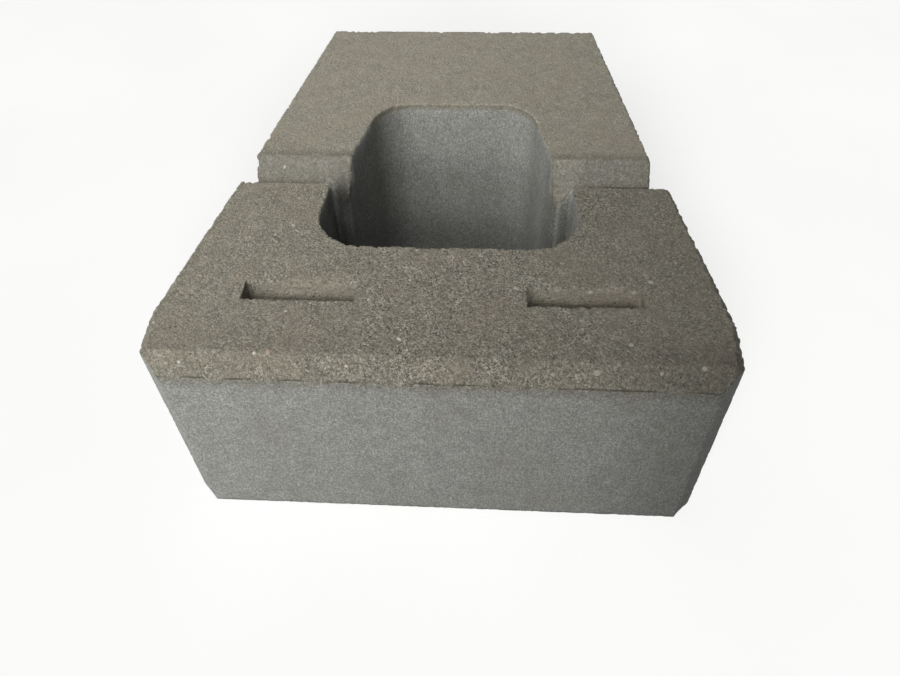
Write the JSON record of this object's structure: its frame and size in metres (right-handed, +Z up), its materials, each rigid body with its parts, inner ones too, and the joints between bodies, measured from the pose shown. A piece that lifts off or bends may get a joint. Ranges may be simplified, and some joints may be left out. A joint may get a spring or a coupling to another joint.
{
  "type": "retaining wall block",
  "caption": "Tapered dry-cast concrete retaining-wall block with a raised tail behind a step, a bell-shaped core right through it and narrow slots in its front top face.",
  "frame": {"origin": "middle of the underside's box, on the floor that the block lies on", "axes": "+X across the block, +Y from the front face to the tail, +Z up"},
  "size_m": [0.46, 0.484, 0.222],
  "materials": {
    "concrete": "dry-cast concrete: open granular tamped top, finer mould-struck faces"
  },
  "bodies": {
    "root": {"concrete_block": "concrete"}
  },
  "joints": []
}
